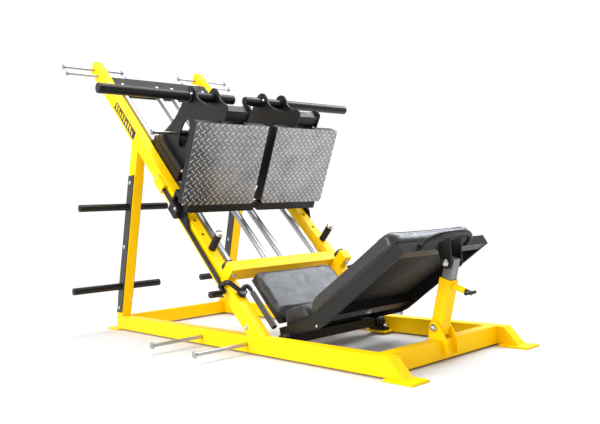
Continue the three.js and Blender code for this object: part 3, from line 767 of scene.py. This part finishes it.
def bench_bolts(looks):
    bm = bmesh.new()
    for side in SIDES.values():
        out = ACROSS * side
        add_bolt(bm, at(side * 0.0415, *STRUT_TOP), out, 0.0105, 0.006)
        add_bolt(bm, at(side * 0.3055, AXLE_Y, 0.060), out, 0.0105, 0.004, washer=False)
        add_screw(bm, on_back(side * 0.256, 0.02, -0.040), out, 0.006, 0.003)
    add_bolt(bm, on_back(0, 0.072, -0.0390), -BACK_H, 0.010, 0.007)
    new_piece("bolts_bench", bm, looks["bolt"], "bench")
    foot = bmesh.new()
    for side in SIDES.values():
        add_bolt(foot, at(side * 0.0425, *STRUT_FOOT), ACROSS * side, 0.0105, 0.006)
    new_piece("bolts_strut", foot, looks["bolt"], "strut_outer")


def carriage_bolts(label, side, looks):
    bm = bmesh.new()
    out = ACROSS * side
    towards = (SLOPE_N * 0.62 - SLOPE_S * 0.35).normalized()
    for x in (0.297, 0.145):
        add_screw(bm, on_slope(side * x, 1.121, 0.456) + towards * 0.0225, towards, 0.009, 0.010)
    add_bolt(bm, on_slope(side * 0.301, 0.935, 0.136), -SLOPE_S, 0.0085, 0.005)
    for s in (1.015, 1.252):
        add_bolt(bm, on_slope(side * 0.300, s, 0.036), out, 0.008, 0.005)
    new_piece(f"bolts_carriage_{label}", bm, looks["bolt"], f"carriage_{label}")


def stop_peg_cap(label, side, looks):
    bm = bmesh.new()
    rings = [(-0.002, 0.0165), (0.004, 0.0178), (0.012, 0.0178), (0.016, 0.0135)]
    add_rings(bm, on_slope(side * HOLE_X, 0.453, 0.157), SLOPE_N, rings, 24)
    new_piece(f"stop_peg_cap_{label}", bm, looks["bolt"], f"stop_peg_{label}")


# ---------- small frame details ----------
def inner_strips(looks):
    """Second wear strip, on the inner face of each upright."""
    for label, side in SIDES.items():
        bm = bmesh.new()
        outline = []
        for z, offset in ((0.10, -0.030), (0.10, 0.030), (0.85, 0.030), (0.85, -0.030)):
            outline.append((upright_y(z) + offset, z))
        add_prism(bm, at, outline, (side * 0.3197, side * 0.3145))
        strip = new_piece(f"inner_wear_strip_{label}", bm, looks["plastic"], "frame")
        soften_edges(strip, 0.001)


def rail_graphic(looks):
    """Plain slanted bars on a black panel, on the outer face of the left sloping rail."""
    panel = bmesh.new()
    x = (-HALF_WIDTH + 0.0002, -HALF_WIDTH - 0.0006)
    add_prism(panel, on_slope, [(1.342, 0.013), (1.640, 0.015), (1.630, 0.062), (1.340, 0.064)], x)
    new_piece("rail_panel", panel, looks["plastic"], "frame")
    bars = bmesh.new()
    x = (-HALF_WIDTH - 0.0004, -HALF_WIDTH - 0.0010)
    for k in range(9):
        s = 1.368 + 0.029 * k
        low, high = (0.022, 0.055) if k % 3 else (0.022, 0.044)
        outline = [(s, low), (s + 0.013, low), (s + 0.020, high), (s + 0.007, high)]
        add_prism(bars, on_slope, outline, x)
    new_piece("rail_bars", bars, looks["yellow"], "frame")


def lever_bolts(label, side, looks):
    bm = bmesh.new()
    add_bolt(bm, on_slope(side * 0.420, 0.722, 0.078), ACROSS * side, 0.007, 0.004)
    new_piece(f"bolts_lever_{label}", bm, looks["bolt"], f"lock_lever_{label}")


# ---------- studio ----------
FLOOR_RADIUS = 2.6
FLOOR_GLOW_SPAN = (1.3, 2.4)
CAMERA_AT = (-2.0087, -2.5505, 0.5463)
CAMERA_TURN = (40.78, 1.64, -3.45)


def aim(place, target):
    """Rotation that points an object's -Z axis from a place to a target."""
    return (Vector(target) - Vector(place)).to_track_quat("-Z", "Y").to_euler()


def studio_floor():
    """White disc under the machine; its outer ring glows, painted light that brings it up to the same white
    as the backdrop beyond it.
    """
    bm = bmesh.new()
    bmesh.ops.create_circle(bm, cap_ends=True, segments=96, radius=FLOOR_RADIUS)
    floor = add_object("studio_floor", bm)
    floor.location.z = -0.0005
    look = Look("studio_white_glowing_rim", (0.61, 0.61, 0.61), 0.75)
    look.set("Specular IOR Level", 0.0).set("Emission Color", (1, 1, 1, 1))
    # Emission grows with distance from the centre: painted light on the floor's outer ring.
    distance = look.nodes.new("ShaderNodeVectorMath")
    distance.operation = "LENGTH"
    rim_glow = look.nodes.new("ShaderNodeMapRange")
    rim_glow.inputs["From Min"].default_value = FLOOR_GLOW_SPAN[0]
    rim_glow.inputs["From Max"].default_value = FLOOR_GLOW_SPAN[1]
    rim_glow.inputs["To Max"].default_value = 0.8
    look.links.new(look.coordinates, distance.inputs[0])
    look.links.new(distance.outputs["Value"], rim_glow.inputs["Value"])
    look.links.new(rim_glow.outputs["Result"], look.shader.inputs["Emission Strength"])
    floor.data.materials.append(look.material)


def flag(name, place, target, size):
    """Black card that is seen only in reflections."""
    bm = bmesh.new()
    bmesh.ops.create_grid(bm, x_segments=1, y_segments=1, size=0.5)
    card = add_object(name, bm)
    card.location = place
    card.rotation_euler = aim(place, target)
    card.scale = (*size, 1)
    card.visible_camera = False
    card.visible_diffuse = False
    card.visible_shadow = False
    look = Look(name, (0.01, 0.01, 0.01), 1.0)
    look.set("Specular IOR Level", 0.0)
    card.data.materials.append(look.material)


def softbox(name, place, target, size, power, colour=(1, 1, 1)):
    light = bpy.data.lights.new(name, "AREA")
    light.shape = "RECTANGLE"
    light.size, light.size_y = size
    light.energy = power
    light.color = colour
    lamp = bpy.data.objects.new(name, light)
    bpy.context.scene.collection.objects.link(lamp)
    lamp.location = place
    lamp.rotation_euler = aim(place, target)


def studio_light():
    world = bpy.data.worlds.new("studio_world")
    bpy.context.scene.world = world
    world.use_nodes = True
    nodes, links = world.node_tree.nodes, world.node_tree.links
    soft = nodes["Background"]
    soft.inputs["Color"].default_value = (1, 1, 1, 1)
    soft.inputs["Strength"].default_value = 0.85
    backdrop = nodes.new("ShaderNodeBackground")
    backdrop.inputs["Color"].default_value = (1, 1, 1, 1)
    backdrop.inputs["Strength"].default_value = 1.05
    mix = nodes.new("ShaderNodeMixShader")
    path = nodes.new("ShaderNodeLightPath")
    links.new(path.outputs["Is Camera Ray"], mix.inputs["Fac"])
    links.new(soft.outputs[0], mix.inputs[1])
    links.new(backdrop.outputs[0], mix.inputs[2])
    links.new(mix.outputs[0], nodes["World Output"].inputs["Surface"])
    softbox("key", (-4.4, 0.3, 2.2), (0, 0, 0.5), (2.6, 2.6), 190)
    softbox("overhead", (0.4, -0.2, 4.4), (0, 0, 0), (3.6, 3.6), 190)
    softbox("sheen", (3.0, -0.4, 3.4), (0.1, -0.5, 0.4), (2.0, 2.0), 130, (0.86, 0.91, 1.0))
    flag("flag_low", (-3.2, -2.2, 0.6), (0, 0, 0.7), (0.7, 3.0))
    flag("flag_front", (0.6, -3.4, 1.4), (0, 0, 0.7), (1.6, 2.6))
    flag("flag_high", (-0.9, -0.6, 3.6), (0, 0, 0.7), (0.5, 3.6))


def camera():
    """The viewing angle of a low three-quarter product shot from the head end's left."""
    yaw, pitch, roll = (math.radians(angle) for angle in CAMERA_TURN)
    ahead = Vector((math.sin(yaw) * math.cos(pitch), math.cos(yaw) * math.cos(pitch), math.sin(pitch)))
    level = Vector((math.cos(yaw), -math.sin(yaw), 0))
    upward = level.cross(ahead)
    right = level * math.cos(roll) + upward * math.sin(roll)
    top = upward * math.cos(roll) - level * math.sin(roll)
    data = bpy.data.cameras.new("camera")
    data.sensor_width = 36
    data.lens = 39.46
    data.shift_x = 0.002
    data.shift_y = -0.015
    data.clip_end = 100
    body = bpy.data.objects.new("camera", data)
    bpy.context.scene.collection.objects.link(body)
    turn = Matrix((right, top, -ahead)).transposed().to_4x4()
    body.matrix_world = Matrix.Translation(CAMERA_AT) @ turn
    bpy.context.scene.camera = body


def corners(box):
    return [list(corner) for corner in box]


def main():
    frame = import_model()
    bpy.context.scene.view_settings.view_transform = "Standard"
    camera()
    studio_floor()
    studio_light()
    looks = make_looks()
    dress_nodes(frame, looks)
    for name, pad in PADS.items():
        make_pad(name, pad, looks)
    for label, side in SIDES.items():
        tread_pattern(label, side, looks)
        carriage_bolts(label, side, looks)
        stop_peg_cap(label, side, looks)
        lever_bolts(label, side, looks)
    frame_bolts(looks)
    bench_bolts(looks)
    inner_strips(looks)
    rail_graphic(looks)
    bpy.context.view_layer.update()


main()
